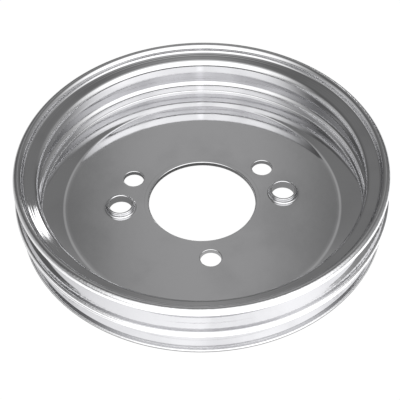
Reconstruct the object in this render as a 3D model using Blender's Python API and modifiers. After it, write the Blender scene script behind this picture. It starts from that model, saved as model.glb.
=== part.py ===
"""Two-groove V-belt crankshaft pulley: three chrome-plated steel stampings joined into one rigid wheel.

The pulley stands on its rear rim with its open dish up. The origin is on the axis, level with the lowest
edge of the rear rim, and +Z points out of the open front. All lengths are in metres.
"""
import math

import bmesh
import bpy
from mathutils import Vector

MM = 0.001

# Driving dimensions
FRONT_RIM_RADIUS = 87.0 * MM      # outside of the front rim's curled edge
MIDDLE_RIM_RADIUS = 87.6 * MM     # outside of the doubled middle flange
REAR_RIM_RADIUS = 85.8 * MM       # outside of the plain rear flange
GROOVE_PITCH = 13.65 * MM         # from one flange to the next, along the axis
FRONT_FLANGE_ANGLE = math.radians(17.0)  # slope of the front flange from a flat disc
FLANK_ANGLE = math.radians(20.0)         # slope of the middle and rear flanges from a flat disc
SHEET = 1.7 * MM                  # sheet of the groove rings and of the cup's wall
SEAM_GAP = 0.3 * MM               # clearance between neighbouring stampings
LAND_WIDTH = 2.4 * MM             # flat land at the rim of the middle and rear flanges
LAND_BEND_RADIUS = 2.5 * MM       # radius of the bend from a flank into its land
RING_WALL_RADIUS = 75.6 * MM      # dish side of the front groove's floor
CUP_WALL_RADIUS = 75.9 * MM       # dish side of the rear groove's floor
WEB_TOP = 4.6 * MM                # height of the flat web's front face
WEB_SHEET = 2.5 * MM              # sheet of the web
CREASE_RADIUS = 65.6 * MM         # where the flat web turns up into its sloping border
BORDER_RISE = 1.7 * MM            # how far that border climbs before it meets the wall
LEG_RADIUS = 68.0 * MM            # inner edge of the rear ring's leg, under the border
PILOT_HOLE_RADIUS = 25.4 * MM     # centre hole, 2 inches across
BOLT_CIRCLE_RADIUS = 36.2 * MM
BOLT_HOLE_RADIUS = 4.85 * MM      # clears a 3/8 inch bolt
COLLAR_CIRCLE_RADIUS = 38.9 * MM
COLLAR_BORE_RADIUS = 5.35 * MM
COLLAR_WALL = 1.25 * MM
COLLAR_HEIGHT = 2.4 * MM          # how far a collar stands up from the web
CURL_RADIUS = 2.15 * MM           # half the thickness of the front rim's curled edge
FOLD_RADIUS = 3.2 * MM            # radius on the dish side where a flange turns into its wall
CORNER_RADIUS = 1.5 * MM          # radius on the groove side of the same folds
EDGE_RADIUS = 0.8 * MM            # rounding of cut sheet edges

TURN_STEPS = 72
HOLE_STEPS = 24
ARC_STEP = math.radians(26.0)
BOLT_ANGLES = (30.0, 150.0, 270.0)
COLLAR_ANGLES = (0.0, 180.0)

# Worked-out dimensions
FRONT_SLOPE = math.tan(FRONT_FLANGE_ANGLE)
SLOPE = math.tan(FLANK_ANGLE)
MIDDLE_LAND_RADIUS = MIDDLE_RIM_RADIUS - LAND_WIDTH
REAR_LAND_RADIUS = REAR_RIM_RADIUS - LAND_WIDTH
REAR_RIM_HEIGHT = SHEET / 2
MIDDLE_RIM_HEIGHT = REAR_RIM_HEIGHT + GROOVE_PITCH
CURL_HEIGHT = MIDDLE_RIM_HEIGHT + GROOVE_PITCH
BORDER_SLOPE = BORDER_RISE / (CUP_WALL_RADIUS - CREASE_RADIUS)
BORDER_ANGLE = math.atan(BORDER_SLOPE)

CHROME_COLOUR = (0.78, 0.78, 0.79, 1.0)
CHROME_ROUGHNESS = {"front_groove_ring": 0.08, "hub_cup": 0.14, "rear_flange_ring": 0.10}


def clear_scene():
    """Remove every object, so that the script can run again in an open file."""
    for item in list(bpy.data.objects):
        bpy.data.objects.remove(item, do_unlink=True)


def new_collection(name):
    """Return a fresh collection linked to the scene."""
    old = bpy.data.collections.get(name)
    if old is not None:
        bpy.data.collections.remove(old)
    made = bpy.data.collections.new(name)
    bpy.context.scene.collection.children.link(made)
    return made


def chrome(name, roughness):
    """Return a chrome-plate material."""
    made = bpy.data.materials.new(name)
    made.use_nodes = True
    shader = made.node_tree.nodes["Principled BSDF"]
    shader.inputs["Base Color"].default_value = CHROME_COLOUR
    shader.inputs["Metallic"].default_value = 1.0
    shader.inputs["Roughness"].default_value = roughness
    return made


def arc(centre, radius, start, end):
    """Return points on an arc from one angle to another, both ends included."""
    count = math.ceil(abs(end - start) / ARC_STEP)
    points = []
    for step in range(count + 1):
        angle = start + (end - start) * step / count
        points.append(centre + radius * Vector((math.cos(angle), math.sin(angle))))
    return points


def rounded(corners):
    """Turn a closed outline of (radius, height, corner radius) into points with rounded corners."""
    points = []
    for index, (across, up, radius) in enumerate(corners):
        corner = Vector((across, up))
        if radius == 0:
            points.append(corner)
            continue
        before = (Vector(corners[index - 1][:2]) - corner).normalized()
        after = (Vector(corners[(index + 1) % len(corners)][:2]) - corner).normalized()
        half = before.angle(after) / 2
        centre = corner + (before + after).normalized() * radius / math.sin(half)
        reach = radius / math.tan(half)
        first = corner + before * reach - centre
        last = corner + after * reach - centre
        start = math.atan2(first.y, first.x)
        turn = (math.atan2(last.y, last.x) - start + math.pi) % (2 * math.pi) - math.pi
        points.extend(arc(centre, radius, start, start + turn))
    return points


def turned(name, outline, steps, collection):
    """Spin a closed outline, listed clockwise, about the Z axis with a Screw modifier; return the object."""
    mesh = bpy.data.meshes.new(name)
    shape = bmesh.new()
    vertices = [shape.verts.new((point.x, 0.0, point.y)) for point in outline]
    for index, vertex in enumerate(vertices):
        shape.edges.new((vertices[index - 1], vertex))
    shape.to_mesh(mesh)
    shape.free()
    item = bpy.data.objects.new(name, mesh)
    collection.objects.link(item)
    screw = item.modifiers.new("Turn", "SCREW")
    screw.steps = steps
    screw.render_steps = steps
    screw.use_merge_vertices = True
    screw.merge_threshold = 0.00001
    screw.use_smooth_shade = True
    return item


def front_ring_outline():
    """Front ring: curled rim, front flange, front groove's floor and the front half of the middle flange."""
    curl = Vector((FRONT_RIM_RADIUS - CURL_RADIUS, CURL_HEIGHT))
    flange_back = CURL_HEIGHT - CURL_RADIUS / math.cos(FRONT_FLANGE_ANGLE) - curl.x * FRONT_SLOPE
    flange_face = flange_back + SHEET / math.cos(FRONT_FLANGE_ANGLE)
    land_back = MIDDLE_RIM_HEIGHT + SEAM_GAP / 2
    land_face = land_back + SHEET
    half_back = land_back + MIDDLE_LAND_RADIUS * SLOPE
    half_face = land_face + MIDDLE_LAND_RADIUS * SLOPE
    groove_radius = RING_WALL_RADIUS + SHEET
    # Angle at which the flange's dish face meets the curl, seen from the curl's centre
    curl_start = math.pi + FRONT_FLANGE_ANGLE + math.asin((CURL_RADIUS - SHEET) / CURL_RADIUS)
    curl_end = FRONT_FLANGE_ANGLE - math.pi / 2
    return rounded([
        (RING_WALL_RADIUS, flange_face + RING_WALL_RADIUS * FRONT_SLOPE, FOLD_RADIUS),
        *[(point.x, point.y, 0) for point in arc(curl, CURL_RADIUS, curl_start, curl_end)],
        (groove_radius, flange_back + groove_radius * FRONT_SLOPE, CORNER_RADIUS),
        (groove_radius, half_face - groove_radius * SLOPE, CORNER_RADIUS),
        (MIDDLE_LAND_RADIUS, land_face, LAND_BEND_RADIUS),
        (MIDDLE_RIM_RADIUS, land_face, EDGE_RADIUS),
        (MIDDLE_RIM_RADIUS, land_back, 0),
        (MIDDLE_LAND_RADIUS, land_back, LAND_BEND_RADIUS),
        (RING_WALL_RADIUS, half_back - RING_WALL_RADIUS * SLOPE, FOLD_RADIUS),
    ])


def cup_outline():
    """Cup: flat web, sloping border, rear groove's floor and the rear half of the middle flange."""
    land_face = MIDDLE_RIM_HEIGHT - SEAM_GAP / 2
    land_back = land_face - SHEET
    half_face = land_face - MIDDLE_LAND_RADIUS * SLOPE
    half_back = land_back - MIDDLE_LAND_RADIUS * SLOPE
    groove_radius = CUP_WALL_RADIUS + SHEET
    web_back = WEB_TOP - WEB_SHEET
    return rounded([
        (PILOT_HOLE_RADIUS, WEB_TOP, EDGE_RADIUS),
        (CREASE_RADIUS, WEB_TOP, 0),
        (CUP_WALL_RADIUS, WEB_TOP + BORDER_RISE, 0),
        (CUP_WALL_RADIUS, half_face + CUP_WALL_RADIUS * SLOPE, FOLD_RADIUS),
        (MIDDLE_LAND_RADIUS, land_face, LAND_BEND_RADIUS),
        (MIDDLE_RIM_RADIUS, land_face, 0),
        (MIDDLE_RIM_RADIUS, land_back, EDGE_RADIUS),
        (MIDDLE_LAND_RADIUS, land_back, LAND_BEND_RADIUS),
        (groove_radius, half_back + groove_radius * SLOPE, CORNER_RADIUS),
        (groove_radius, web_back + (groove_radius - CREASE_RADIUS) * BORDER_SLOPE, CORNER_RADIUS),
        (CREASE_RADIUS, web_back, 0),
        (PILOT_HOLE_RADIUS, web_back, EDGE_RADIUS),
    ])


def rear_ring_outline():
    """Rear ring: the plain rear flange, folded down from a leg that lies under the cup's border."""
    lip = Vector((REAR_RIM_RADIUS - SHEET / 2, REAR_RIM_HEIGHT))
    flank_top = SHEET + REAR_LAND_RADIUS * SLOPE
    leg_drop = WEB_SHEET + SEAM_GAP / math.cos(BORDER_ANGLE)
    leg_top = WEB_TOP - leg_drop - CREASE_RADIUS * BORDER_SLOPE
    leg_sheet = SHEET / math.cos(BORDER_ANGLE)
    fold = (flank_top - leg_top) / (SLOPE + BORDER_SLOPE)
    under_fold = fold + (leg_sheet - SHEET) / (SLOPE + BORDER_SLOPE)
    return rounded([
        (LEG_RADIUS, leg_top + LEG_RADIUS * BORDER_SLOPE, EDGE_RADIUS),
        (fold, flank_top - fold * SLOPE, CORNER_RADIUS),
        (REAR_LAND_RADIUS, SHEET, LAND_BEND_RADIUS),
        *[(point.x, point.y, 0) for point in arc(lip, SHEET / 2, math.pi / 2, -math.pi / 2)],
        (REAR_LAND_RADIUS, 0, LAND_BEND_RADIUS),
        (under_fold, leg_top + under_fold * BORDER_SLOPE - leg_sheet, 0),
        (LEG_RADIUS, leg_top + LEG_RADIUS * BORDER_SLOPE - leg_sheet, EDGE_RADIUS),
    ])


def collar_outline():
    """Ring-shaped boss that a bore later opens into a collar; its foot is sunk into the web."""
    outer = COLLAR_BORE_RADIUS + COLLAR_WALL
    core = COLLAR_BORE_RADIUS / 2
    foot = WEB_TOP - WEB_SHEET / 2
    top = WEB_TOP + COLLAR_HEIGHT
    return rounded([(core, top, 0), (outer, top, COLLAR_WALL / 2), (outer, foot, 0), (core, foot, 0)])


def on_circle(radius, degrees):
    """Return the point at an angle on a circle about the axis."""
    angle = math.radians(degrees)
    return Vector((radius * math.cos(angle), radius * math.sin(angle), 0.0))


def hole_cutter(name, radius, place, collection):
    """Return a cylinder that cuts a hole through the web and everything on it.

    It is turned by half a step, so that its corners miss the edges of the faces that it cuts.
    """
    bpy.ops.mesh.primitive_cylinder_add(vertices=HOLE_STEPS, radius=radius, depth=8 * WEB_SHEET)
    cutter = bpy.context.object
    cutter.location = place + Vector((0.0, 0.0, WEB_TOP))
    cutter.rotation_euler.z = math.pi / HOLE_STEPS
    cutter.name = name
    for owner in list(cutter.users_collection):
        owner.objects.unlink(cutter)
    collection.objects.link(cutter)
    return cutter


def combine(item, other, operation):
    """Add a Boolean modifier and mark the other shape as a helper."""
    boolean = item.modifiers.new(other.name, "BOOLEAN")
    boolean.operation = operation
    boolean.solver = "EXACT"
    boolean.object = other
    other.hide_render = True
    other.display_type = "WIRE"


def build():
    """Build the three stampings and the holes and collars of the web."""
    clear_scene()
    parts = new_collection("crankshaft_pulley")
    helpers = new_collection("pulley_helpers")

    axis = bpy.data.objects.new("pulley_axis", None)
    parts.objects.link(axis)

    outlines = {
        "front_groove_ring": front_ring_outline(),
        "hub_cup": cup_outline(),
        "rear_flange_ring": rear_ring_outline(),
    }
    for name, outline in outlines.items():
        piece = turned(name, outline, TURN_STEPS, parts)
        piece.data.materials.append(chrome(name + "_chrome", CHROME_ROUGHNESS[name]))
        piece.parent = axis

    cup = bpy.data.objects["hub_cup"]
    for number, degrees in enumerate(COLLAR_ANGLES, start=1):
        place = on_circle(COLLAR_CIRCLE_RADIUS, degrees)
        boss = turned(f"collar_{number}", collar_outline(), HOLE_STEPS, helpers)
        boss.location = place
        combine(cup, boss, "UNION")
        combine(cup, hole_cutter(f"collar_bore_{number}", COLLAR_BORE_RADIUS, place, helpers), "DIFFERENCE")
    for number, degrees in enumerate(BOLT_ANGLES, start=1):
        place = on_circle(BOLT_CIRCLE_RADIUS, degrees)
        combine(cup, hole_cutter(f"bolt_hole_{number}", BOLT_HOLE_RADIUS, place, helpers), "DIFFERENCE")


build()
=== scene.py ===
"""Looks of a two-groove V-belt crankshaft pulley: three chromed stampings on a white table in a studio.

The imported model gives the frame: the origin is on the pulley's axis, level with the rear rim on which it
stands, and +Z points out of the open dish. Lengths are metres. Every stamping is turned again at full
smoothness from the same section as its CAD node, because chrome shows each facet.
"""

import logging
import math
from dataclasses import dataclass
from enum import Enum

import bmesh
import bpy
from mathutils import Matrix, Vector


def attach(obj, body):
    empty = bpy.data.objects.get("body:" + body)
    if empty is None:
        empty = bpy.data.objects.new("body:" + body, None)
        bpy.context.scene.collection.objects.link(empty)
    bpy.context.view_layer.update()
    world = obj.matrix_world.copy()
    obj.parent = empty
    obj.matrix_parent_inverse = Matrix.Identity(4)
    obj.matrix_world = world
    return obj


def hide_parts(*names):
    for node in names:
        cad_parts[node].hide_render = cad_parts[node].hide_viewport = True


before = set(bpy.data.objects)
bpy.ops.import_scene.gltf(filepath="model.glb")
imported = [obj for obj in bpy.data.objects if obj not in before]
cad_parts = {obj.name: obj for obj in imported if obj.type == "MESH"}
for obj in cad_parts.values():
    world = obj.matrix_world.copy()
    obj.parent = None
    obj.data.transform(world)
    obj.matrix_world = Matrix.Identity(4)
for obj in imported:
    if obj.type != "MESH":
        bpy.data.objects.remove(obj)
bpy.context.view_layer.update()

MM = 0.001
ARC_STEP = math.radians(7.0)
WELD_DISTANCE = 0.001 * MM
LEVEL_DISTANCE = 0.01 * MM
FLAT_FACE_WEIGHT = 100

log = logging.getLogger("pulley")

Colour = tuple[float, float, float, float]
WHITE: Colour = (1.0, 1.0, 1.0, 1.0)


class Part(Enum):
    """The stampings, by the name of the CAD node that each one stands for."""

    FRONT_RING = "front_groove_ring"
    CUP = "hub_cup"
    REAR_RING = "rear_flange_ring"

    @property
    def slot(self) -> str:
        """Return the record's material slot of this stamping."""
        return self.value + "_chrome"


@dataclass(frozen=True)
class Corner:
    """One corner of a section.

    Args:
        radius: Distance from the pulley's axis.
        height: Height above the table.
        fillet: Radius that rounds the corner, or 0 for a point on a smooth run.
    """

    radius: float
    height: float
    fillet: float = 0.0

    @property
    def point(self) -> Vector:
        """Return the corner as a flat vector."""
        return Vector((self.radius, self.height))


def arc(centre: Vector, radius: float, start: float, end: float) -> list[Vector]:
    """Return points on an arc, both ends included.

    Args:
        centre: Centre of the arc.
        radius: Radius of the arc.
        start: First angle in radians.
        end: Last angle in radians.

    Returns:
        Points that are at most ARC_STEP apart.
    """
    count = max(1, math.ceil(abs(end - start) / ARC_STEP))
    angles = [start + (end - start) * step / count for step in range(count + 1)]
    return [centre + radius * Vector((math.cos(angle), math.sin(angle))) for angle in angles]


def rounded(corners: list[Corner]) -> list[Vector]:
    """Round the corners of a section.

    Args:
        corners: The section's corners in order. The first and last of an open section have no fillet.

    Returns:
        The section as a run of points.
    """
    points = []
    for index, corner in enumerate(corners):
        if corner.fillet == 0.0:
            points.append(corner.point)
            continue
        before = (corners[index - 1].point - corner.point).normalized()
        after = (corners[(index + 1) % len(corners)].point - corner.point).normalized()
        half = before.angle(after) / 2
        centre = corner.point + (before + after).normalized() * corner.fillet / math.sin(half)
        reach = corner.fillet / math.tan(half)
        first = corner.point + before * reach - centre
        last = corner.point + after * reach - centre
        start = math.atan2(first.y, first.x)
        turn = (math.atan2(last.y, last.x) - start + math.pi) % (2 * math.pi) - math.pi
        points.extend(arc(centre, corner.fillet, start, start + turn))
    return points


class Tree:
    """A thin wrapper that makes node trees short to write."""

    def __init__(self, name: str, kind: str) -> None:
        """Make an empty tree of the given kind."""
        self.tree = bpy.data.node_groups.new(name, kind)
        self.entry = self.tree.nodes.new("NodeGroupInput")
        self.exit = self.tree.nodes.new("NodeGroupOutput")

    def takes(self, name: str, kind: str, value: object = None) -> None:
        """Add a named input.

        Args:
            name: Name of the input.
            kind: Socket type.
            value: Default value, if it has one.
        """
        socket = self.tree.interface.new_socket(name=name, in_out="INPUT", socket_type=kind)
        if value is not None:
            socket.default_value = value

    def gives(self, name: str, kind: str) -> None:
        """Add a named output of a socket type."""
        self.tree.interface.new_socket(name=name, in_out="OUTPUT", socket_type=kind)

    def node(self, kind: str, values: dict | None = None, **settings: object) -> bpy.types.Node:
        """Add a node.

        Args:
            kind: Node type.
            values: Input sockets by name or number, each with a value or an output socket to link.
            settings: Attributes of the node.

        Returns:
            The new node.
        """
        return add_node(self.tree, kind, values, **settings)

    def finish(self, **outputs: bpy.types.NodeSocket) -> bpy.types.NodeTree:
        """Link the tree's outputs and return the tree."""
        for name, socket in outputs.items():
            self.tree.links.new(socket, self.exit.inputs[name])
        return self.tree


def add_node(
    tree: bpy.types.NodeTree, kind: str, values: dict | None = None, **settings: object
) -> bpy.types.Node:
    """Add a node to a tree, set its attributes and fill its inputs.

    Args:
        tree: Tree that gets the node.
        kind: Node type.
        values: Input sockets by name or number, each with a value or an output socket to link.
        settings: Attributes of the node.

    Returns:
        The new node.
    """
    node = tree.nodes.new(kind)
    for name, value in settings.items():
        setattr(node, name, value)
    for key, value in (values or {}).items():
        if isinstance(value, bpy.types.NodeSocket):
            tree.links.new(value, node.inputs[key])
        else:
            node.inputs[key].default_value = value
    return node


def apply_tree(mesh: bpy.types.Mesh, tree: bpy.types.NodeTree, **inputs: object) -> bpy.types.Mesh:
    """Run a geometry tree on a mesh and keep the result as a plain mesh.

    Args:
        mesh: Mesh that the tree starts from; it is removed afterwards.
        tree: The geometry tree.
        inputs: Values of the tree's named inputs, with underscores for spaces.

    Returns:
        The new mesh.
    """
    holder = bpy.data.objects.new("holder", mesh)
    bpy.context.scene.collection.objects.link(holder)
    modifier = holder.modifiers.new(tree.name, "NODES")
    modifier.node_group = tree
    items = tree.interface.items_tree
    sockets = {item.name: item.identifier for item in items if item.in_out == "INPUT"}
    for name, value in inputs.items():
        modifier[sockets[name.replace("_", " ")]] = value
    graph = bpy.context.evaluated_depsgraph_get()
    graph.update()
    baked = bpy.data.meshes.new_from_object(holder.evaluated_get(graph))
    holder.modifiers.remove(modifier)
    bpy.data.objects.remove(holder)
    bpy.data.meshes.remove(mesh)
    return baked


class Lathe:
    """Turns sections about an axis with one geometry tree."""

    SPINDLE = 1.0 * MM

    def __init__(self) -> None:
        """Build the turning tree and the tree that repeats a turned hole round a circle."""
        self.turning = self._turning_tree()
        self.pattern = self._pattern_tree()

    @staticmethod
    def _turning_tree() -> bpy.types.NodeTree:
        """Return a tree that sweeps a section round a circle."""
        tree = Tree("turned_section", "GeometryNodeTree")
        tree.takes("Section", "NodeSocketGeometry")
        tree.takes("Segments", "NodeSocketInt", 64)
        tree.takes("Spindle Radius", "NodeSocketFloat", Lathe.SPINDLE)
        tree.takes("Finish", "NodeSocketMaterial")
        tree.gives("Turned", "NodeSocketGeometry")
        given = tree.entry.outputs
        spindle = tree.node(
            "GeometryNodeCurvePrimitiveCircle",
            {"Resolution": given["Segments"], "Radius": given["Spindle Radius"]},
        )
        section = tree.node("GeometryNodeMeshToCurve", {"Mesh": given["Section"]})
        swept = tree.node(
            "GeometryNodeCurveToMesh",
            {"Curve": spindle.outputs["Curve"], "Profile Curve": section.outputs[0]},
        )
        smooth = tree.node("GeometryNodeSetShadeSmooth", {"Geometry": swept.outputs[0]})
        real = tree.node("GeometryNodeRealizeInstances", {"Geometry": smooth.outputs[0]})
        dressed = tree.node(
            "GeometryNodeSetMaterial", {"Geometry": real.outputs[0], "Material": given["Finish"]}
        )
        return tree.finish(Turned=dressed.outputs[0])

    @staticmethod
    def _pattern_tree() -> bpy.types.NodeTree:
        """Return a tree that sets copies of one hole at equal steps round a circle."""
        tree = Tree("hole_circle", "GeometryNodeTree")
        tree.takes("Hole", "NodeSocketGeometry")
        tree.takes("Count", "NodeSocketInt", 3)
        tree.takes("Circle Radius", "NodeSocketFloat", 0.03)
        tree.takes("First Angle", "NodeSocketFloat", 0.0)
        tree.takes("Finish", "NodeSocketMaterial")
        tree.gives("Holes", "NodeSocketGeometry")
        given = tree.entry.outputs
        index = tree.node("GeometryNodeInputIndex")
        step = tree.node("ShaderNodeMath", {0: math.tau, 1: given["Count"]}, operation="DIVIDE")
        angle = tree.node(
            "ShaderNodeMath",
            {0: index.outputs[0], 1: step.outputs[0], 2: given["First Angle"]},
            operation="MULTIPLY_ADD",
        )
        across = tree.node("ShaderNodeMath", {0: angle.outputs[0]}, operation="COSINE")
        along = tree.node("ShaderNodeMath", {0: angle.outputs[0]}, operation="SINE")
        unit = tree.node("ShaderNodeCombineXYZ", {"X": across.outputs[0], "Y": along.outputs[0]})
        place = tree.node(
            "ShaderNodeVectorMath",
            {0: unit.outputs[0], "Scale": given["Circle Radius"]},
            operation="SCALE",
        )
        points = tree.node("GeometryNodePoints", {"Count": given["Count"], "Position": place.outputs[0]})
        copies = tree.node(
            "GeometryNodeInstanceOnPoints", {"Points": points.outputs[0], "Instance": given["Hole"]}
        )
        real = tree.node("GeometryNodeRealizeInstances", {"Geometry": copies.outputs[0]})
        dressed = tree.node(
            "GeometryNodeSetMaterial", {"Geometry": real.outputs[0], "Material": given["Finish"]}
        )
        return tree.finish(Holes=dressed.outputs[0])

    def turn(
        self, points: list[Vector], segments: int, finish: bpy.types.Material, closed: bool = True
    ) -> bpy.types.Mesh:
        """Turn a section about the Z axis.

        Args:
            points: The section as (radius, height), clockwise when it is closed.
            segments: Number of steps round the axis.
            finish: Material of the result.
            closed: Whether the last point joins the first.

        Returns:
            The turned mesh.
        """
        outline = bpy.data.meshes.new("section")
        count = len(points)
        edges = [(index, (index + 1) % count) for index in range(count if closed else count - 1)]
        outline.from_pydata([(point.x - self.SPINDLE, -point.y, 0.0) for point in points], edges, [])
        return apply_tree(
            outline, self.turning, Segments=segments, Spindle_Radius=self.SPINDLE, Finish=finish
        )

    def repeat(
        self, hole: bpy.types.Mesh, count: int, circle: float, first: float, finish: bpy.types.Material
    ) -> bpy.types.Mesh:
        """Set copies of a turned hole round a circle.

        Args:
            hole: The turned hole; it is removed afterwards.
            count: Number of copies.
            circle: Radius of the circle.
            first: Angle of the first copy in radians.
            finish: Material of the result.

        Returns:
            The copies as one mesh.
        """
        return apply_tree(
            hole, self.pattern, Count=count, Circle_Radius=circle, First_Angle=first, Finish=finish
        )


def finish_piece(mesh: bpy.types.Mesh, part: Part) -> bpy.types.Object:
    """Make a stamping from its mesh and hand it to the frame.

    Args:
        mesh: Closed mesh in the row frame.
        part: Stamping that the mesh stands for.

    Returns:
        The new object.
    """
    piece = bpy.data.objects.new(part.value + "_chromed", mesh)
    bpy.context.scene.collection.objects.link(piece)
    normals = piece.modifiers.new("Flat faces stay flat", "WEIGHTED_NORMAL")
    normals.weight = FLAT_FACE_WEIGHT
    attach(piece, "root")
    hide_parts(part.value)
    log.info("%s: %d faces", piece.name, len(mesh.polygons))
    return piece


def weld(mesh: bpy.types.Mesh) -> None:
    """Merge the doubles of a mesh and point its faces outwards."""
    shape = bmesh.new()
    shape.from_mesh(mesh)
    bmesh.ops.remove_doubles(shape, verts=shape.verts, dist=WELD_DISTANCE)
    bmesh.ops.recalc_face_normals(shape, faces=shape.faces)
    for face in shape.faces:
        face.smooth = True
    shape.to_mesh(mesh)
    shape.free()


@dataclass
class Flanks:
    """Sizes that all three stampings share.

    Args:
        front_slope: Rise of the front flange for each unit of radius.
        slope: Rise of the other flanks for each unit of radius.
        sheet: Thickness of the rolled sheet.
        seam: Gap that the halves of the middle flange keep from its centre plane.
        land: Width of the flat land at the rims of the middle and rear flanges.
        land_bend: Radius of the bend from a flank into its land.
        middle_radius: Outside of the middle flange.
        middle_height: Height of the middle flange's centre plane at its rim.
        fold: Radius on the dish side of a fold.
        corner: Radius on the groove side of a fold.
        edge: Rounding of a cut edge.
        seam_edge: Rounding of a cut edge next to the seam.
        segments: Steps round the axis.
    """

    front_slope: float = math.tan(math.radians(17.0))
    slope: float = math.tan(math.radians(20.0))
    sheet: float = 1.7 * MM
    seam: float = 0.08 * MM
    land: float = 2.4 * MM
    land_bend: float = 2.5 * MM
    middle_radius: float = 87.6 * MM
    middle_height: float = 14.5 * MM
    fold: float = 3.2 * MM
    corner: float = 1.5 * MM
    edge: float = 1.2 * MM
    seam_edge: float = 0.35 * MM
    segments: int = 320


@dataclass
class FrontGrooveRing:
    """Front flange with its curled rim, front groove floor, and front half of the middle flange.

    Args:
        flanks: Sizes shared with the other stampings.
        rim_radius: Outside of the curled rim.
        curl: Half the thickness of the curled rim.
        curl_height: Height of the curl's centre.
        root: Radius of the hollow between the flange's dish face and the curl.
        wall: Dish side of the groove's floor.
    """

    flanks: Flanks
    rim_radius: float = 87.0 * MM
    curl: float = 2.15 * MM
    curl_height: float = 28.12 * MM
    root: float = 1.4 * MM
    wall: float = 75.6 * MM

    def section(self) -> list[Vector]:
        """Return the ring's closed section.

        The curl stands proud of the flange's dish face, and a small hollow joins the two.
        """
        flanks = self.flanks
        curl = Vector((self.rim_radius - self.curl, self.curl_height))
        front_slope = flanks.front_slope
        flange_back = curl.y - self.curl * math.hypot(1.0, front_slope) - curl.x * front_slope
        flange_face = flange_back + flanks.sheet * math.hypot(1.0, front_slope)
        rim = flanks.middle_radius
        land = rim - flanks.land
        land_back = flanks.middle_height + flanks.seam
        land_face = land_back + flanks.sheet
        half_back = land_back + land * flanks.slope
        half_face = land_face + land * flanks.slope
        groove = self.wall + flanks.sheet
        flank_angle = math.atan(front_slope)
        up = Vector((-math.sin(flank_angle), math.cos(flank_angle)))
        inward = Vector((-math.cos(flank_angle), -math.sin(flank_angle)))
        lift = self.root + flanks.sheet - self.curl
        reach = math.sqrt((self.root + self.curl) ** 2 - lift**2)
        hollow = curl + up * lift + inward * reach
        root_end = math.atan2(curl.y - hollow.y, curl.x - hollow.x)
        root = arc(hollow, self.root, flank_angle - math.pi / 2, root_end)
        bead = arc(curl, self.curl, root_end + math.pi, flank_angle - math.pi / 2)
        return rounded([
            Corner(self.wall, flange_face + self.wall * front_slope, flanks.fold),
            *[Corner(point.x, point.y) for point in root + bead[1:]],
            Corner(groove, flange_back + groove * front_slope, flanks.corner),
            Corner(groove, half_face - groove * flanks.slope, flanks.corner),
            Corner(land, land_face, flanks.land_bend),
            Corner(rim, land_face, flanks.edge),
            Corner(rim, land_back, flanks.seam_edge),
            Corner(land, land_back, flanks.land_bend),
            Corner(self.wall, half_back - self.wall * flanks.slope, flanks.fold),
        ])

    def build(self, lathe: Lathe, finish: bpy.types.Material) -> bpy.types.Object:
        """Turn the ring.

        Args:
            lathe: Lathe that turns the section.
            finish: Chrome finish of the ring.

        Returns:
            The ring.
        """
        mesh = lathe.turn(self.section(), self.flanks.segments, finish)
        weld(mesh)
        return finish_piece(mesh, Part.FRONT_RING)


@dataclass
class RearFlangeRing:
    """Rear flange, folded down from a leg that lies under the cup's border.

    Args:
        flanks: Sizes shared with the other stampings.
        rim_radius: Outside of the flange.
        leg_radius: Inner edge of the leg.
        leg_top: Height of the leg's top face at its inner edge.
        leg_slope: Rise of the leg for each unit of radius.
        leg_corner: Radius inside the fold, under the leg.
    """

    flanks: Flanks
    rim_radius: float = 85.8 * MM
    leg_radius: float = 68.0 * MM
    leg_top: float = 2.18 * MM
    leg_slope: float = 0.165
    leg_corner: float = 0.3 * MM

    def section(self) -> list[Vector]:
        """Return the ring's closed section."""
        flanks = self.flanks
        half = flanks.sheet / 2
        lip = Vector((self.rim_radius - half, half))
        land = self.rim_radius - flanks.land
        flank_top = flanks.sheet + land * flanks.slope
        leg_line = self.leg_top - self.leg_radius * self.leg_slope
        leg_sheet = flanks.sheet * math.hypot(1.0, self.leg_slope)
        fold = (flank_top - leg_line) / (flanks.slope + self.leg_slope)
        under = fold + (leg_sheet - flanks.sheet) / (flanks.slope + self.leg_slope)
        bead = arc(lip, half, math.pi / 2, -math.pi / 2)
        inner = self.leg_radius
        return rounded([
            Corner(inner, leg_line + inner * self.leg_slope, flanks.edge),
            Corner(fold, flank_top - fold * flanks.slope, flanks.corner),
            Corner(land, flanks.sheet, flanks.land_bend),
            *[Corner(point.x, point.y) for point in bead],
            Corner(land, 0.0, flanks.land_bend),
            Corner(under, leg_line + under * self.leg_slope - leg_sheet, self.leg_corner),
            Corner(inner, leg_line + inner * self.leg_slope - leg_sheet, flanks.edge),
        ])

    def build(self, lathe: Lathe, finish: bpy.types.Material) -> bpy.types.Object:
        """Turn the ring.

        Args:
            lathe: Lathe that turns the section.
            finish: Chrome finish of the ring.

        Returns:
            The ring.
        """
        mesh = lathe.turn(self.section(), self.flanks.segments, finish)
        weld(mesh)
        return finish_piece(mesh, Part.REAR_RING)


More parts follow.
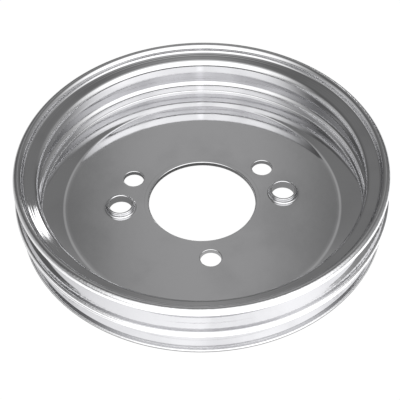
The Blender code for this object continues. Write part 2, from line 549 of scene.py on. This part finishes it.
@dataclass
class HubCup:
    """Flat web with its holes and drawn collars, sloped border, rear groove floor and half a flange.

    Args:
        flanks: Sizes shared with the other stampings.
        web_top: Height of the web's front face.
        web_sheet: Thickness of the web.
        crease: Radius where the web turns up into its border.
        crease_fillet: Radius of that bend.
        border_rise: Climb of the border up to the wall.
        foot_fillet: Radius between the border and the wall.
        wall: Dish side of the rear groove's floor.
        web_overlap: How far the turned shell reaches in over the flat web.
        pilot: Radius of the centre hole.
        pilot_edge: Rounding of the centre hole's edges.
        coined_ring: Outside of the shallow ring pressed about the centre hole.
        coined_depth: Depth of that ring.
        coined_soft: Rounding of that ring's step.
        coined_margin: Flat web turned together with that ring.
        bolt_circle: Radius of the circle of bolt holes.
        bolt_count: Number of bolt holes.
        bolt_start: Angle of the first bolt hole in radians.
        bolt_hole: Radius of a bolt hole.
        bolt_edge: Rounding of a bolt hole's edges.
        collar_circle: Radius of the circle of collars.
        collar_count: Number of collars.
        collar_bore: Radius of a collar's bore.
        collar_wall: Thickness of a collar's wall.
        collar_height: Height of a collar above the web.
        collar_foot: Radius between a collar and the web.
        collar_lip: Rounding of a collar's lip.
        collar_draw: Radius by which the web's rear face is drawn into a collar.
        hole_segments: Steps round a small hole.
    """

    flanks: Flanks
    web_top: float = 4.6 * MM
    web_sheet: float = 2.5 * MM
    crease: float = 65.6 * MM
    crease_fillet: float = 9.0 * MM
    border_rise: float = 1.7 * MM
    foot_fillet: float = 0.7 * MM
    wall: float = 75.9 * MM
    web_overlap: float = 2.0 * MM
    pilot: float = 25.4 * MM
    pilot_edge: float = 0.55 * MM
    coined_ring: float = 27.8 * MM
    coined_depth: float = 0.05 * MM
    coined_soft: float = 0.5 * MM
    coined_margin: float = 1.0 * MM
    bolt_circle: float = 36.2 * MM
    bolt_count: int = 3
    bolt_start: float = math.radians(30.0)
    bolt_hole: float = 4.85 * MM
    bolt_edge: float = 0.45 * MM
    collar_circle: float = 38.9 * MM
    collar_count: int = 2
    collar_bore: float = 5.35 * MM
    collar_wall: float = 1.25 * MM
    collar_height: float = 2.4 * MM
    collar_foot: float = 1.1 * MM
    collar_lip: float = 0.6 * MM
    collar_draw: float = 1.0 * MM
    hole_segments: int = 96

    @property
    def web_back(self) -> float:
        """Return the height of the web's rear face."""
        return self.web_top - self.web_sheet

    def shell_section(self) -> list[Vector]:
        """Return the open section from the web's front face, round the flange, to its rear face."""
        flanks = self.flanks
        rim = flanks.middle_radius
        land = rim - flanks.land
        land_face = flanks.middle_height - flanks.seam
        land_back = land_face - flanks.sheet
        half_face = land_face - land * flanks.slope
        half_back = land_back - land * flanks.slope
        groove = self.wall + flanks.sheet
        border = self.border_rise / (self.wall - self.crease)
        inner = self.crease - self.web_overlap
        return rounded([
            Corner(inner, self.web_top),
            Corner(self.crease, self.web_top, self.crease_fillet),
            Corner(self.wall, self.web_top + self.border_rise, self.foot_fillet),
            Corner(self.wall, half_face + self.wall * flanks.slope, flanks.fold),
            Corner(land, land_face, flanks.land_bend),
            Corner(rim, land_face, flanks.seam_edge),
            Corner(rim, land_back, flanks.edge),
            Corner(land, land_back, flanks.land_bend),
            Corner(groove, half_back + groove * flanks.slope, flanks.corner),
            Corner(groove, self.web_back + (groove - self.crease) * border, flanks.corner),
            Corner(self.crease, self.web_back, self.crease_fillet),
            Corner(inner, self.web_back),
        ])

    def pilot_section(self) -> list[Vector]:
        """Return the open section of the centre hole, with a shallow coined ring about its mouth."""
        low = self.web_top - self.coined_depth
        edge = self.pilot_edge
        soft = self.coined_soft
        rear_edge = arc(Vector((self.pilot + edge, self.web_back + edge)), edge, -math.pi / 2, -math.pi)
        front = rounded([
            Corner(self.pilot, self.web_back),
            Corner(self.pilot, low, edge),
            Corner(self.coined_ring - soft, low, soft),
            Corner(self.coined_ring, self.web_top, soft),
            Corner(self.coined_ring + self.coined_margin, self.web_top),
        ])
        return rear_edge + front[1:]

    def bolt_section(self) -> list[Vector]:
        """Return the open section of a plain hole with broken edges."""
        edge = self.bolt_edge
        mouth = self.bolt_hole + 2 * edge
        return rounded([
            Corner(mouth, self.web_back),
            Corner(self.bolt_hole, self.web_back, edge),
            Corner(self.bolt_hole, self.web_top, edge),
            Corner(mouth, self.web_top),
        ])

    def collar_section(self) -> list[Vector]:
        """Return the open section of a hole whose metal is drawn up into a collar."""
        bore = self.collar_bore
        outer = bore + self.collar_wall
        lip = self.web_top + self.collar_height
        return rounded([
            Corner(bore + 2 * self.collar_draw, self.web_back),
            Corner(bore, self.web_back, self.collar_draw),
            Corner(bore, lip, self.collar_lip),
            Corner(outer, lip, self.collar_lip),
            Corner(outer, self.web_top, self.collar_foot),
            Corner(outer + 2 * self.collar_foot, self.web_top),
        ])

    def build(self, lathe: Lathe, finish: bpy.types.Material) -> bpy.types.Object:
        """Turn the cup's shell and holes, and fill its two flat faces between them.

        Args:
            lathe: Lathe that turns the sections.
            finish: Chrome finish of the cup.

        Returns:
            The cup.
        """
        shell = lathe.turn(self.shell_section(), self.flanks.segments, finish, closed=False)
        pilot = lathe.turn(self.pilot_section(), self.flanks.segments, finish, closed=False)
        bolt = lathe.turn(self.bolt_section(), self.hole_segments, finish, closed=False)
        collar = lathe.turn(self.collar_section(), self.hole_segments, finish, closed=False)
        bolts = lathe.repeat(bolt, self.bolt_count, self.bolt_circle, self.bolt_start, finish)
        collars = lathe.repeat(collar, self.collar_count, self.collar_circle, 0.0, finish)
        strips = (shell, pilot, bolts, collars)
        shape = bmesh.new()
        for strip in strips:
            shape.from_mesh(strip)
        bmesh.ops.remove_doubles(shape, verts=shape.verts, dist=WELD_DISTANCE)
        for height in (self.web_top, self.web_back):
            open_edges = [edge for edge in shape.edges if edge.is_boundary]
            rims = [
                edge
                for edge in open_edges
                if all(abs(end.co.z - height) < LEVEL_DISTANCE for end in edge.verts)
            ]
            bmesh.ops.triangle_fill(shape, use_beauty=True, edges=rims)
        bmesh.ops.recalc_face_normals(shape, faces=shape.faces)
        for face in shape.faces:
            face.smooth = True
        shape.to_mesh(shell)
        log.info("hub cup has %d open edges", sum(edge.is_boundary for edge in shape.edges))
        shape.free()
        for strip in strips[1:]:
            bpy.data.meshes.remove(strip)
        return finish_piece(shell, Part.CUP)


def sized_noise(
    tree: Tree, vector: bpy.types.NodeSocket, size: bpy.types.NodeSocket, detail: float
) -> bpy.types.NodeSocket:
    """Add a noise texture with lumps of a given size.

    Args:
        tree: Tree that gets the nodes.
        vector: Place to look up.
        size: Size of a lump in metres.
        detail: Octaves of detail.

    Returns:
        The noise value.
    """
    pitch = tree.node("ShaderNodeMath", {0: 1.0, 1: size}, operation="DIVIDE")
    noise = tree.node(
        "ShaderNodeTexNoise", {"Vector": vector, "Scale": pitch.outputs[0], "Detail": detail}
    )
    return noise.outputs[0]


class SurfaceEffects:
    """Shader groups that the chrome finishes share."""

    RIPPLE_DETAIL = 2.0
    GRAIN_DETAIL = 3.0
    RING_DETAIL = 1.0
    PATCH_DETAIL = 4.0

    def __init__(self) -> None:
        """Build each group once."""
        self.peel = self._peel()
        self.specks = self._specks()
        self.haze = self._haze()

    @staticmethod
    def _peel() -> bpy.types.NodeTree:
        """Return the relief of plated sheet: slow ripple, grain on worked rims and rings from spinning."""
        tree = Tree("orange_peel", "ShaderNodeTree")
        tree.takes("Vector", "NodeSocketVector")
        tree.takes("Ripple Size", "NodeSocketFloat", 4.0 * MM)
        tree.takes("Ripple Depth", "NodeSocketFloat", 1.0)
        tree.takes("Grain Size", "NodeSocketFloat", 0.8 * MM)
        tree.takes("Grain Depth", "NodeSocketFloat", 1.0)
        tree.takes("Rim Start", "NodeSocketFloat", 83.5 * MM)
        tree.takes("Rim End", "NodeSocketFloat", 85.5 * MM)
        tree.takes("Ring Size", "NodeSocketFloat", 1.1 * MM)
        tree.takes("Ring Depth", "NodeSocketFloat", 1.0)
        tree.takes("Ring Start", "NodeSocketFloat", 76.5 * MM)
        tree.gives("Height", "NodeSocketFloat")
        given = tree.entry.outputs
        ripple = sized_noise(tree, given["Vector"], given["Ripple Size"], SurfaceEffects.RIPPLE_DETAIL)
        grain = sized_noise(tree, given["Vector"], given["Grain Size"], SurfaceEffects.GRAIN_DETAIL)
        flat = tree.node(
            "ShaderNodeVectorMath", {0: given["Vector"], 1: (1.0, 1.0, 0.0)}, operation="MULTIPLY"
        )
        reach = tree.node("ShaderNodeVectorMath", {0: flat.outputs[0]}, operation="LENGTH")
        rim = tree.node(
            "ShaderNodeMapRange",
            {
                "Value": reach.outputs["Value"],
                "From Min": given["Rim Start"],
                "From Max": given["Rim End"],
            },
            interpolation_type="SMOOTHSTEP",
        )
        grain_here = tree.node(
            "ShaderNodeMath", {0: grain, 1: given["Grain Depth"]}, operation="MULTIPLY"
        )
        grain_rim = tree.node(
            "ShaderNodeMath", {0: grain_here.outputs[0], 1: rim.outputs[0]}, operation="MULTIPLY"
        )
        height = tree.node(
            "ShaderNodeMath",
            {0: ripple, 1: given["Ripple Depth"], 2: grain_rim.outputs[0]},
            operation="MULTIPLY_ADD",
        )
        level = tree.node("ShaderNodeSeparateXYZ", {0: given["Vector"]})
        along = tree.node(
            "ShaderNodeMath", {0: reach.outputs["Value"], 1: level.outputs["Z"]}, operation="ADD"
        )
        lines = tree.node(
            "ShaderNodeMath", {0: along.outputs[0], 1: given["Ring Size"]}, operation="DIVIDE"
        )
        rings = tree.node(
            "ShaderNodeTexNoise",
            {"W": lines.outputs[0], "Scale": 1.0, "Detail": SurfaceEffects.RING_DETAIL},
            noise_dimensions="1D",
        )
        outside = tree.node(
            "ShaderNodeMath",
            {0: reach.outputs["Value"], 1: given["Ring Start"]},
            operation="GREATER_THAN",
        )
        ring_depth = tree.node(
            "ShaderNodeMath", {0: outside.outputs[0], 1: given["Ring Depth"]}, operation="MULTIPLY"
        )
        spun = tree.node(
            "ShaderNodeMath",
            {0: rings.outputs[0], 1: ring_depth.outputs[0], 2: height.outputs[0]},
            operation="MULTIPLY_ADD",
        )
        return tree.finish(Height=spun.outputs[0])

    @staticmethod
    def _specks() -> bpy.types.NodeTree:
        """Return a mask of scattered dust specks."""
        tree = Tree("dust_specks", "ShaderNodeTree")
        tree.takes("Vector", "NodeSocketVector")
        tree.takes("Spacing", "NodeSocketFloat", 6.0 * MM)
        tree.takes("Speck Size", "NodeSocketFloat", 0.05)
        tree.gives("Mask", "NodeSocketFloat")
        given = tree.entry.outputs
        pitch = tree.node("ShaderNodeMath", {0: 1.0, 1: given["Spacing"]}, operation="DIVIDE")
        cells = tree.node("ShaderNodeTexVoronoi", {"Vector": given["Vector"], "Scale": pitch.outputs[0]})
        chance = tree.node("ShaderNodeSeparateColor", {0: cells.outputs["Color"]})
        size = tree.node(
            "ShaderNodeMath", {0: chance.outputs[0], 1: given["Speck Size"]}, operation="MULTIPLY"
        )
        mask = tree.node(
            "ShaderNodeMath", {0: cells.outputs["Distance"], 1: size.outputs[0]}, operation="LESS_THAN"
        )
        return tree.finish(Mask=mask.outputs[0])

    @staticmethod
    def _haze() -> bpy.types.NodeTree:
        """Return a slow variation of the polish, from 0 for bright to 1 for hazy."""
        tree = Tree("polish_haze", "ShaderNodeTree")
        tree.takes("Vector", "NodeSocketVector")
        tree.takes("Patch Size", "NodeSocketFloat", 25.0 * MM)
        tree.takes("Clean Below", "NodeSocketFloat", 0.42)
        tree.takes("Hazy Above", "NodeSocketFloat", 0.72)
        tree.gives("Haze", "NodeSocketFloat")
        given = tree.entry.outputs
        patches = sized_noise(tree, given["Vector"], given["Patch Size"], SurfaceEffects.PATCH_DETAIL)
        spread = tree.node(
            "ShaderNodeMapRange",
            {"Value": patches, "From Min": given["Clean Below"], "From Max": given["Hazy Above"]},
            interpolation_type="SMOOTHSTEP",
        )
        return tree.finish(Haze=spread.outputs[0])


@dataclass(frozen=True)
class ChromeFinish:
    """A chrome finish.

    Args:
        name: Name of the material.
        bright: Colour of clean plate.
        dull: Colour of hazy plate.
        polish: Roughness of clean plate.
        haze: Roughness that haze adds.
        ripple: Depth of the slow ripple.
        grain: Depth of the fine grain on the rims.
        rings: Depth of the rings that spinning leaves on the flanges.
        relief: Height in metres of a depth of 1.
        dust: Colour of dust.
    """

    name: str
    bright: Colour = (0.70, 0.70, 0.71, 1.0)
    dull: Colour = (0.64, 0.64, 0.65, 1.0)
    polish: float = 0.05
    haze: float = 0.04
    ripple: float = 0.2
    grain: float = 2.5
    rings: float = 1.6
    relief: float = 0.03 * MM
    dust: Colour = (0.75, 0.75, 0.74, 1.0)

    def material(self, effects: SurfaceEffects) -> bpy.types.Material:
        """Build the material.

        Args:
            effects: Shader groups to use.

        Returns:
            The chrome material.
        """
        made = bpy.data.materials.new(self.name)
        made.use_nodes = True
        tree = made.node_tree
        shader = tree.nodes["Principled BSDF"]
        place = add_node(tree, "ShaderNodeTexCoord").outputs["Object"]
        peel = add_node(tree, "ShaderNodeGroup", node_tree=effects.peel)
        haze = add_node(tree, "ShaderNodeGroup", node_tree=effects.haze)
        specks = add_node(tree, "ShaderNodeGroup", node_tree=effects.specks)
        for group in (peel, haze, specks):
            tree.links.new(place, group.inputs["Vector"])
        peel.inputs["Ripple Depth"].default_value = self.ripple
        peel.inputs["Grain Depth"].default_value = self.grain
        peel.inputs["Ring Depth"].default_value = self.rings
        colour = add_node(tree, "ShaderNodeMix", data_type="RGBA")
        tree.links.new(haze.outputs["Haze"], colour.inputs["Factor"])
        colour.inputs["A"].default_value = self.bright
        colour.inputs["B"].default_value = self.dull
        dusty = add_node(tree, "ShaderNodeMix", data_type="RGBA")
        tree.links.new(specks.outputs["Mask"], dusty.inputs["Factor"])
        tree.links.new(colour.outputs["Result"], dusty.inputs["A"])
        dusty.inputs["B"].default_value = self.dust
        rough = add_node(
            tree,
            "ShaderNodeMath",
            {0: haze.outputs["Haze"], 1: self.haze, 2: self.polish},
            operation="MULTIPLY_ADD",
        )
        bump = add_node(
            tree,
            "ShaderNodeBump",
            {"Height": peel.outputs["Height"], "Strength": 1.0, "Distance": self.relief},
        )
        tree.links.new(dusty.outputs["Result"], shader.inputs["Base Color"])
        tree.links.new(rough.outputs[0], shader.inputs["Roughness"])
        tree.links.new(bump.outputs[0], shader.inputs["Normal"])
        shader.inputs["Metallic"].default_value = 1.0
        return made


@dataclass(frozen=True)
class Lamp:
    """A soft lamp far from the pulley.

    Args:
        turn: Angle in degrees from straight behind the pulley, clockwise from above.
        height: Angle in degrees above the table.
        core: Half width of its even part, in degrees.
        edge: Half width out to where it fades away, in degrees.
        strength: Light of its even part.
        flatten: How much narrower it is than it is tall.
    """

    turn: float
    height: float
    core: float
    edge: float
    strength: float
    flatten: float = 1.0

    def added(
        self,
        tree: bpy.types.NodeTree,
        place: bpy.types.NodeSocket,
        aim: Vector,
        total: float | bpy.types.NodeSocket,
    ) -> bpy.types.NodeSocket:
        """Add the lamp's light to the sky.

        Args:
            tree: The sky's node tree.
            place: Direction that is looked up.
            aim: Direction of the lamp.
            total: Light of the sky without this lamp, as a number or a socket.

        Returns:
            Light of the sky with this lamp.
        """
        side = Vector((aim.y, -aim.x, 0.0)).normalized() * (self.flatten - 1.0)
        ahead = add_node(tree, "ShaderNodeVectorMath", {0: place, 1: aim}, operation="DOT_PRODUCT")
        across = add_node(tree, "ShaderNodeVectorMath", {0: place, 1: side}, operation="DOT_PRODUCT")
        extra = add_node(
            tree,
            "ShaderNodeMath",
            {0: across.outputs["Value"], 1: across.outputs["Value"]},
            operation="MULTIPLY",
        )
        facing = add_node(
            tree,
            "ShaderNodeMath",
            {0: ahead.outputs["Value"], 1: extra.outputs[0]},
            operation="SUBTRACT",
        )
        spread = add_node(
            tree,
            "ShaderNodeMapRange",
            {
                "Value": facing.outputs[0],
                "From Min": math.cos(math.radians(self.edge)),
                "From Max": math.cos(math.radians(self.core)),
            },
            interpolation_type="SMOOTHSTEP",
        )
        return add_node(
            tree,
            "ShaderNodeMath",
            {0: spread.outputs[0], 1: self.strength, 2: total},
            operation="MULTIPLY_ADD",
        ).outputs[0]


LAMPS = (
    Lamp(turn=170.0, height=38.0, core=35.0, edge=74.0, strength=1.55),
    Lamp(turn=95.0, height=30.0, core=0.0, edge=55.0, strength=0.30),
    Lamp(turn=275.0, height=5.0, core=0.0, edge=42.0, strength=0.45),
    Lamp(turn=180.0, height=20.0, core=5.0, edge=50.0, strength=0.35, flatten=14.0),
    Lamp(turn=0.0, height=40.0, core=0.0, edge=42.0, strength=0.09),
    Lamp(turn=0.0, height=40.0, core=0.0, edge=34.0, strength=0.19, flatten=4.5),
    Lamp(turn=16.5, height=30.5, core=2.0, edge=4.0, strength=3.0),
)


@dataclass
class Studio:
    """White table in a dim room with soft lamps, and the camera.

    The camera itself sees the table and the room as plain white.

    Args:
        table_half: Half the width of the table.
        table_colour: Colour of the table, dark because the table shines by itself.
        table_light: Mean light painted into the table's glow, which reflections see.
        table_swing: How much that painted light rises to one side and falls to the other.
        bright_side: Angle in degrees of the table's painted bright side, measured as a lamp's turn is.
        shadow_start: Radius of the dark contact shadow painted into the glow.
        shadow_end: Radius at which that painted shadow has faded away.
        shadow_light: Part of the table's painted light that is left in the painted shadow.
        room_light: Light of the room between the lamps.
        backdrop: Light of the table and the room as the camera sees them.
        lamps: Soft lamps in the room.
        camera_turn: Turn of the camera about the pulley's axis, in radians.
        aside: Turn of the camera to its side, in radians.
        camera_back: Distance from the axis to the camera along the table.
        camera_up: Height of the camera.
        look_down: Angle of the view below the horizon, in radians.
        roll: Turn of the camera about its view, in radians.
        sensor: Width of the camera's sensor in mm.
        lens: Focal length in mm.
        nearest: Nearest distance that the camera sees.
    """

    table_half: float = 6.0
    table_colour: Colour = (0.02, 0.02, 0.02, 1.0)
    table_light: float = 1.15
    table_swing: float = 0.75
    bright_side: float = 160.0
    shadow_start: float = 87.0 * MM
    shadow_end: float = 91.0 * MM
    shadow_light: float = 0.25
    room_light: float = 0.13
    backdrop: float = 1.0
    lamps: tuple[Lamp, ...] = LAMPS
    camera_turn: float = math.radians(-5.6)
    aside: float = math.radians(0.1)
    camera_back: float = 394.2 * MM
    camera_up: float = 428.2 * MM
    look_down: float = math.radians(47.05)
    roll: float = math.radians(0.96)
    sensor: float = 36.0
    lens: float = 109.3
    nearest: float = 0.01

    def build(self) -> None:
        """Make the table, the sky and the camera."""
        self._table()
        self._sky()
        self._camera()

    def _table(self) -> None:
        """Lay the table under the pulley."""
        half = self.table_half
        corners = [(-half, -half, 0), (half, -half, 0), (half, half, 0), (-half, half, 0)]
        mesh = bpy.data.meshes.new("table")
        mesh.from_pydata(corners, [], [(0, 1, 2, 3)])
        mesh.materials.append(self._paper())
        table = bpy.data.objects.new("table", mesh)
        bpy.context.scene.collection.objects.link(table)

    def _paper(self) -> bpy.types.Material:
        """Return the table's white paper: its glow carries a painted brighter side and a painted contact
        shadow, which every ray but the camera's sees.
        """
        paper = bpy.data.materials.new("white_paper")
        paper.use_nodes = True
        tree = paper.node_tree
        shader = tree.nodes["Principled BSDF"]
        place = add_node(tree, "ShaderNodeTexCoord").outputs["Object"]
        # Painted pool of light: the glow is brighter towards bright_side and dimmer on the far side.
        outward = add_node(tree, "ShaderNodeVectorMath", {0: place}, operation="NORMALIZE")
        bright = self._direction(self.bright_side, 0.0)
        facing = add_node(
            tree, "ShaderNodeVectorMath", {0: outward.outputs[0], 1: bright}, operation="DOT_PRODUCT"
        )
        lit = add_node(
            tree,
            "ShaderNodeMath",
            {0: facing.outputs["Value"], 1: self.table_swing, 2: self.table_light},
            operation="MULTIPLY_ADD",
        )
        # Painted contact shadow: the glow dims in a ring next to the pulley's rim.
        away = add_node(tree, "ShaderNodeVectorMath", {0: place}, operation="LENGTH")
        shade = add_node(
            tree,
            "ShaderNodeMapRange",
            {
                "Value": away.outputs["Value"],
                "From Min": self.shadow_start,
                "From Max": self.shadow_end,
                "To Min": self.shadow_light,
            },
            interpolation_type="SMOOTHSTEP",
        )
        shaded = add_node(
            tree, "ShaderNodeMath", {0: lit.outputs[0], 1: shade.outputs[0]}, operation="MULTIPLY"
        )
        seen = add_node(tree, "ShaderNodeLightPath").outputs["Is Camera Ray"]
        glow = add_node(
            tree,
            "ShaderNodeMix",
            {"Factor": seen, 2: shaded.outputs[0], 3: self.backdrop},
            data_type="FLOAT",
        )
        shader.inputs["Base Color"].default_value = self.table_colour
        shader.inputs["Roughness"].default_value = 1.0
        shader.inputs["Specular IOR Level"].default_value = 0.0
        shader.inputs["Emission Color"].default_value = WHITE
        tree.links.new(glow.outputs[0], shader.inputs["Emission Strength"])
        return paper

    def _direction(self, turn: float, height: float) -> Vector:
        """Return the direction of a lamp.

        Args:
            turn: Angle in degrees from straight behind the pulley, clockwise from above.
            height: Angle in degrees above the table.

        Returns:
            Unit vector from the pulley to the lamp.
        """
        flat = Matrix.Rotation(self.camera_turn - math.radians(turn), 3, "Z") @ Vector((0.0, 1.0, 0.0))
        rise = math.radians(height)
        return flat * math.cos(rise) + Vector((0.0, 0.0, math.sin(rise)))

    def _sky(self) -> None:
        """Surround the table with a dim room, and hang its soft lamps."""
        world = bpy.data.worlds.new("studio")
        bpy.context.scene.world = world
        world.use_nodes = True
        tree = world.node_tree
        tree.nodes.clear()
        place = add_node(tree, "ShaderNodeTexCoord").outputs["Generated"]
        total = self.room_light
        for lamp in self.lamps:
            total = lamp.added(tree, place, self._direction(lamp.turn, lamp.height), total)
        seen = add_node(tree, "ShaderNodeLightPath").outputs["Is Camera Ray"]
        strength = add_node(
            tree, "ShaderNodeMix", {"Factor": seen, 2: total, 3: self.backdrop}, data_type="FLOAT"
        )
        light = add_node(
            tree, "ShaderNodeBackground", {"Color": WHITE, "Strength": strength.outputs[0]}
        )
        add_node(tree, "ShaderNodeOutputWorld", {"Surface": light.outputs[0]})

    def _camera(self) -> None:
        """Place the camera at the height of a person looking down at a table."""
        data = bpy.data.cameras.new("camera")
        camera = bpy.data.objects.new("camera", data)
        bpy.context.scene.collection.objects.link(camera)
        turn = Matrix.Rotation(self.camera_turn, 4, "Z")
        pitch = Matrix.Rotation(math.pi / 2 - self.look_down, 4, "X")
        roll = Matrix.Rotation(-self.roll, 4, "Z")
        place = Matrix.Translation((0.0, -self.camera_back, self.camera_up))
        aside = Matrix.Rotation(self.aside, 4, "Y")
        camera.matrix_world = turn @ place @ pitch @ aside @ roll
        data.sensor_width = self.sensor
        data.lens = self.lens
        data.clip_start = self.nearest
        bpy.context.scene.camera = camera


def main() -> None:
    """Build the pulley and its studio."""
    logging.basicConfig(level=logging.INFO, format="%(name)s: %(message)s")
    effects = SurfaceEffects()
    lathe = Lathe()
    flanks = Flanks()
    ring_chrome = ChromeFinish("ring_chrome").material(effects)
    cup_chrome = ChromeFinish("cup_chrome").material(effects)
    flange_chrome = ChromeFinish("flange_chrome").material(effects)
    FrontGrooveRing(flanks).build(lathe, ring_chrome)
    HubCup(flanks).build(lathe, cup_chrome)
    RearFlangeRing(flanks).build(lathe, flange_chrome)
    Studio().build()
    bpy.context.scene.view_settings.view_transform = "Standard"


if __name__ == "__main__":
    main()
